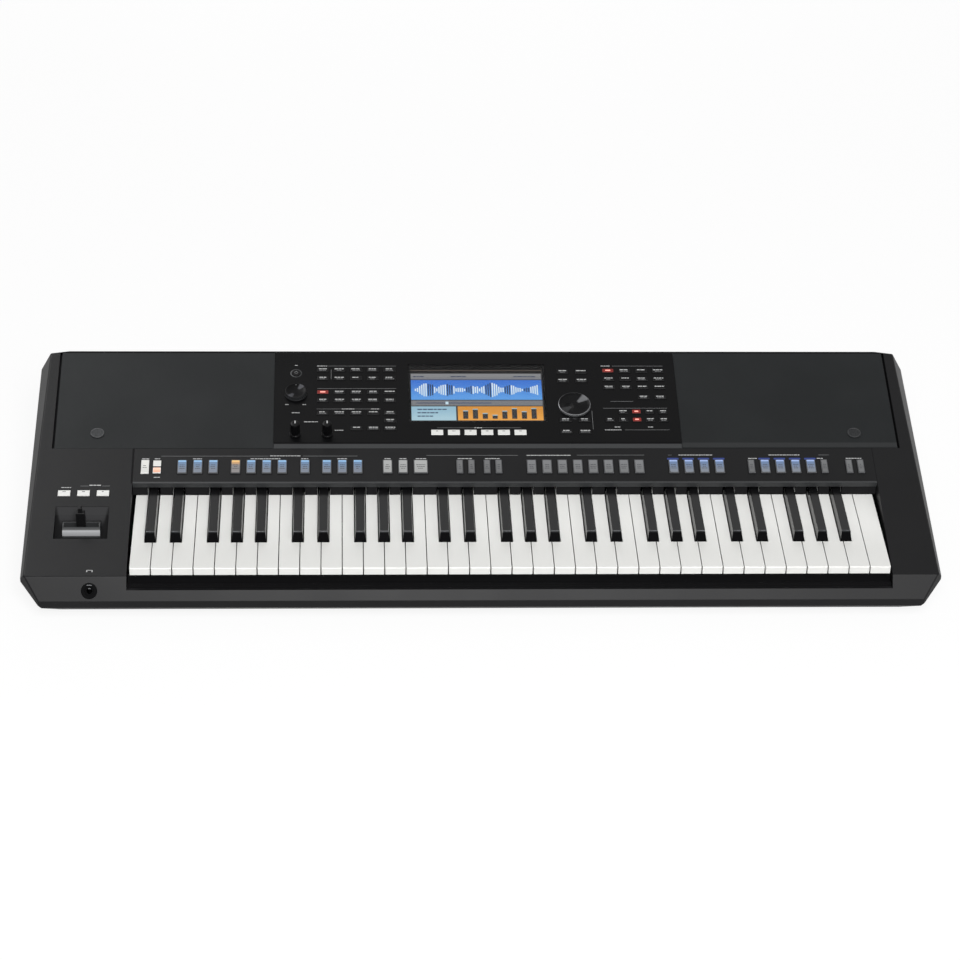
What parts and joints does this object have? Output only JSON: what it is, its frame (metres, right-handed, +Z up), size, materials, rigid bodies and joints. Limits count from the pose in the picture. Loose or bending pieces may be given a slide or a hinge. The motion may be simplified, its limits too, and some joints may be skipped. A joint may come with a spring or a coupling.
{
  "type": "arranger keyboard",
  "caption": "Electronic arranger keyboard: sloping dark case with sprung piano keys, lit button strip, raised panel with colour display, knobs, dial, joystick and speakers.",
  "frame": {"origin": "bottom centre of the bounding box, on the floor under the feet", "axes": "+X to the player's right, +Y away from the player, +Z up"},
  "size_m": [1.022, 0.4, 0.1401],
  "materials": {
    "case_grey": "fine moulded texture",
    "panel_black": "satin black",
    "strip_grey": "satin dark grey",
    "grille_grey": "fine pressed mesh, painted",
    "badge_grey": "satin",
    "window": "clear, low glare",
    "display": "lit display face",
    "speaker_frame": "black paint",
    "speaker_cone": "coated paper",
    "magnet": "sintered ferrite, bare",
    "tweeter_black": "satin",
    "white_key": "polished white",
    "black_key": "satin black",
    "chassis_plastic": "bare moulding",
    "steel": "plain bright steel",
    "board_green": "solder resist",
    "dome_rubber": "moulded silicone",
    "felt": "pressed felt",
    "slip_black": "dull black",
    "socket_black": "dull black",
    "foot_rubber": "moulded rubber",
    "screw_steel": "zinc plated, dark",
    "knob_black": "satin black",
    "joystick_grey": "satin light grey",
    "lever_black": "satin black",
    "button_black": "satin black",
    "button_white": "satin white",
    "button_lit": "translucent, lit from below",
    "button_clear": "translucent grey"
  },
  "bodies": {
    "case": {"lower_case": "case_grey", "upper_case": "case_grey", "control_panel": "panel_black", "button_strip_panel": "strip_grey", "display_window": "window", "display_module": "display", "speaker_grilles": "grille_grey", "grille_badges": "badge_grey", "woofer_baskets": "speaker_frame", "woofer_cones": "speaker_cone", "woofer_magnets": "magnet", "tweeters": "tweeter_black", "key_chassis": "chassis_plastic", "key_pivot_rod": "steel", "key_springs": "steel", "key_contact_board": "board_green", "key_contact_domes": "dome_rubber", "key_felts": "felt", "key_slip": "slip_black", "main_board": "board_green", "panel_boards": "board_green", "rear_socket_panel": "case_grey", "rear_jacks": "socket_black", "rear_ports": "socket_black", "headphone_jack": "socket_black", "rubber_feet": "foot_rubber", "case_screws": "screw_steel", "joystick_tray": "socket_black", "knob_spindles": "steel"},
    "keys_c": {"keys_c": "white_key"},
    "keys_d": {"keys_d": "white_key"},
    "keys_e": {"keys_e": "white_key"},
    "keys_f": {"keys_f": "white_key"},
    "keys_g": {"keys_g": "white_key"},
    "keys_a": {"keys_a": "white_key"},
    "keys_b": {"keys_b": "white_key"},
    "keys_c_sharp": {"keys_c_sharp": "black_key"},
    "keys_d_sharp": {"keys_d_sharp": "black_key"},
    "keys_f_sharp": {"keys_f_sharp": "black_key"},
    "keys_g_sharp": {"keys_g_sharp": "black_key"},
    "keys_a_sharp": {"keys_a_sharp": "black_key"},
    "volume_knob": {"volume_knob": "knob_black"},
    "live_knob_left": {"live_knob_left": "knob_black"},
    "live_knob_right": {"live_knob_right": "knob_black"},
    "data_dial": {"data_dial": "knob_black"},
    "joystick_barrel": {"joystick_barrel": "joystick_grey"},
    "joystick_lever": {"joystick_lever": "lever_black"},
    "power_button": {"power_button": "button_black"},
    "style_control_buttons": {"style_control_buttons": "button_lit"},
    "registration_buttons": {"registration_buttons": "button_clear"},
    "pad_buttons": {"pad_buttons": "button_lit"},
    "narrow_strip_buttons": {"narrow_strip_buttons": "button_clear"},
    "strip_left_buttons": {"strip_left_buttons": "button_clear"},
    "style_category_buttons": {"style_category_buttons": "button_black"},
    "song_buttons": {"song_buttons": "button_black"},
    "display_buttons": {"display_buttons": "button_white"},
    "dial_buttons": {"dial_buttons": "button_black"},
    "voice_buttons": {"voice_buttons": "button_black"},
    "part_buttons": {"part_buttons": "button_black"},
    "joystick_buttons": {"joystick_buttons": "button_white"}
  },
  "joints": [
    {"name": "keys_c_dip", "type": "hinge", "parent": "case", "child": "keys_c", "pos_m": [0.0305, 0.01748, 0.0665], "axis": [1, 0, 0], "range_deg": [0, 2.8], "stiffness_Nm_per_rad": 1.2, "springref_deg": -28.65},
    {"name": "keys_d_dip", "type": "hinge", "parent": "case", "child": "keys_d", "pos_m": [0.0305, 0.01748, 0.0665], "axis": [1, 0, 0], "range_deg": [0, 2.8], "stiffness_Nm_per_rad": 1.2, "springref_deg": -28.65},
    {"name": "keys_e_dip", "type": "hinge", "parent": "case", "child": "keys_e", "pos_m": [0.0305, 0.01748, 0.0665], "axis": [1, 0, 0], "range_deg": [0, 2.8], "stiffness_Nm_per_rad": 1.2, "springref_deg": -28.65},
    {"name": "keys_f_dip", "type": "hinge", "parent": "case", "child": "keys_f", "pos_m": [0.0305, 0.01748, 0.0665], "axis": [1, 0, 0], "range_deg": [0, 2.8], "stiffness_Nm_per_rad": 1.2, "springref_deg": -28.65},
    {"name": "keys_g_dip", "type": "hinge", "parent": "case", "child": "keys_g", "pos_m": [0.0305, 0.01748, 0.0665], "axis": [1, 0, 0], "range_deg": [0, 2.8], "stiffness_Nm_per_rad": 1.2, "springref_deg": -28.65},
    {"name": "keys_a_dip", "type": "hinge", "parent": "case", "child": "keys_a", "pos_m": [0.0305, 0.01748, 0.0665], "axis": [1, 0, 0], "range_deg": [0, 2.8], "stiffness_Nm_per_rad": 1.2, "springref_deg": -28.65},
    {"name": "keys_b_dip", "type": "hinge", "parent": "case", "child": "keys_b", "pos_m": [0.0305, 0.01748, 0.0665], "axis": [1, 0, 0], "range_deg": [0, 2.8], "stiffness_Nm_per_rad": 1.2, "springref_deg": -28.65},
    {"name": "keys_c_sharp_dip", "type": "hinge", "parent": "case", "child": "keys_c_sharp", "pos_m": [0.0305, 0.01748, 0.0665], "axis": [1, 0, 0], "range_deg": [0, 2.8], "stiffness_Nm_per_rad": 1.2, "springref_deg": -28.65},
    {"name": "keys_d_sharp_dip", "type": "hinge", "parent": "case", "child": "keys_d_sharp", "pos_m": [0.0305, 0.01748, 0.0665], "axis": [1, 0, 0], "range_deg": [0, 2.8], "stiffness_Nm_per_rad": 1.2, "springref_deg": -28.65},
    {"name": "keys_f_sharp_dip", "type": "hinge", "parent": "case", "child": "keys_f_sharp", "pos_m": [0.0305, 0.01748, 0.0665], "axis": [1, 0, 0], "range_deg": [0, 2.8], "stiffness_Nm_per_rad": 1.2, "springref_deg": -28.65},
    {"name": "keys_g_sharp_dip", "type": "hinge", "parent": "case", "child": "keys_g_sharp", "pos_m": [0.0305, 0.01748, 0.0665], "axis": [1, 0, 0], "range_deg": [0, 2.8], "stiffness_Nm_per_rad": 1.2, "springref_deg": -28.65},
    {"name": "keys_a_sharp_dip", "type": "hinge", "parent": "case", "child": "keys_a_sharp", "pos_m": [0.0305, 0.01748, 0.0665], "axis": [1, 0, 0], "range_deg": [0, 2.8], "stiffness_Nm_per_rad": 1.2, "springref_deg": -28.65},
    {"name": "volume_knob_turn", "type": "hinge", "parent": "case", "child": "volume_knob", "pos_m": [-0.2103, 0.09222, 0.12457], "axis": [0, -0.225, 0.9744], "range_deg": [-150, 150]},
    {"name": "live_knob_left_turn", "type": "hinge", "parent": "case", "child": "live_knob_left", "pos_m": [-0.2105, 0.02694, 0.1095], "axis": [0, -0.225, 0.9744], "range_deg": [-150, 150]},
    {"name": "live_knob_right_turn", "type": "hinge", "parent": "case", "child": "live_knob_right", "pos_m": [-0.1738, 0.02694, 0.1095], "axis": [0, -0.225, 0.9744], "range_deg": [-150, 150]},
    {"name": "data_dial_turn", "type": "hinge", "parent": "case", "child": "data_dial", "pos_m": [0.1139, 0.07273, 0.12007], "axis": [0, -0.225, 0.9744], "continuous": true},
    {"name": "joystick_rock", "type": "hinge", "parent": "case", "child": "joystick_barrel", "pos_m": [-0.44782, -0.10365, 0.06375], "axis": [1, 0, 0], "range_deg": [-15, 15], "stiffness_Nm_per_rad": 0.06},
    {"name": "joystick_tilt", "type": "hinge", "parent": "joystick_barrel", "child": "joystick_lever", "pos_m": [-0.44782, -0.10365, 0.06375], "axis": [0, 0.9744, 0.225], "range_deg": [-18, 18], "stiffness_Nm_per_rad": 0.04},
    {"name": "power_button_press", "type": "slide", "parent": "case", "child": "power_button", "axis": [0, 0.225, -0.9744], "range_m": [0, 0.0008], "stiffness_N_per_m": 300, "springref_m": -0.004},
    {"name": "style_control_buttons_press", "type": "slide", "parent": "case", "child": "style_control_buttons", "axis": [0, 0.225, -0.9744], "range_m": [0, 0.0008], "stiffness_N_per_m": 300, "springref_m": -0.004},
    {"name": "registration_buttons_press", "type": "slide", "parent": "case", "child": "registration_buttons", "axis": [0, 0.225, -0.9744], "range_m": [0, 0.0008], "stiffness_N_per_m": 300, "springref_m": -0.004},
    {"name": "pad_buttons_press", "type": "slide", "parent": "case", "child": "pad_buttons", "axis": [0, 0.225, -0.9744], "range_m": [0, 0.0008], "stiffness_N_per_m": 300, "springref_m": -0.004},
    {"name": "narrow_strip_buttons_press", "type": "slide", "parent": "case", "child": "narrow_strip_buttons", "axis": [0, 0.225, -0.9744], "range_m": [0, 0.0008], "stiffness_N_per_m": 300, "springref_m": -0.004},
    {"name": "strip_left_buttons_press", "type": "slide", "parent": "case", "child": "strip_left_buttons", "axis": [0, 0.225, -0.9744], "range_m": [0, 0.0008], "stiffness_N_per_m": 300, "springref_m": -0.004},
    {"name": "style_category_buttons_press", "type": "slide", "parent": "case", "child": "style_category_buttons", "axis": [0, 0.225, -0.9744], "range_m": [0, 0.0008], "stiffness_N_per_m": 300, "springref_m": -0.004},
    {"name": "song_buttons_press", "type": "slide", "parent": "case", "child": "song_buttons", "axis": [0, 0.225, -0.9744], "range_m": [0, 0.0008], "stiffness_N_per_m": 300, "springref_m": -0.004},
    {"name": "display_buttons_press", "type": "slide", "parent": "case", "child": "display_buttons", "axis": [0, 0.225, -0.9744], "range_m": [0, 0.0008], "stiffness_N_per_m": 300, "springref_m": -0.004},
    {"name": "dial_buttons_press", "type": "slide", "parent": "case", "child": "dial_buttons", "axis": [0, 0.225, -0.9744], "range_m": [0, 0.0008], "stiffness_N_per_m": 300, "springref_m": -0.004},
    {"name": "voice_buttons_press", "type": "slide", "parent": "case", "child": "voice_buttons", "axis": [0, 0.225, -0.9744], "range_m": [0, 0.0008], "stiffness_N_per_m": 300, "springref_m": -0.004},
    {"name": "part_buttons_press", "type": "slide", "parent": "case", "child": "part_buttons", "axis": [0, 0.225, -0.9744], "range_m": [0, 0.0008], "stiffness_N_per_m": 300, "springref_m": -0.004},
    {"name": "joystick_buttons_press", "type": "slide", "parent": "case", "child": "joystick_buttons", "axis": [0, 0.225, -0.9744], "range_m": [0, 0.0008], "stiffness_N_per_m": 300, "springref_m": -0.004}
  ]
}
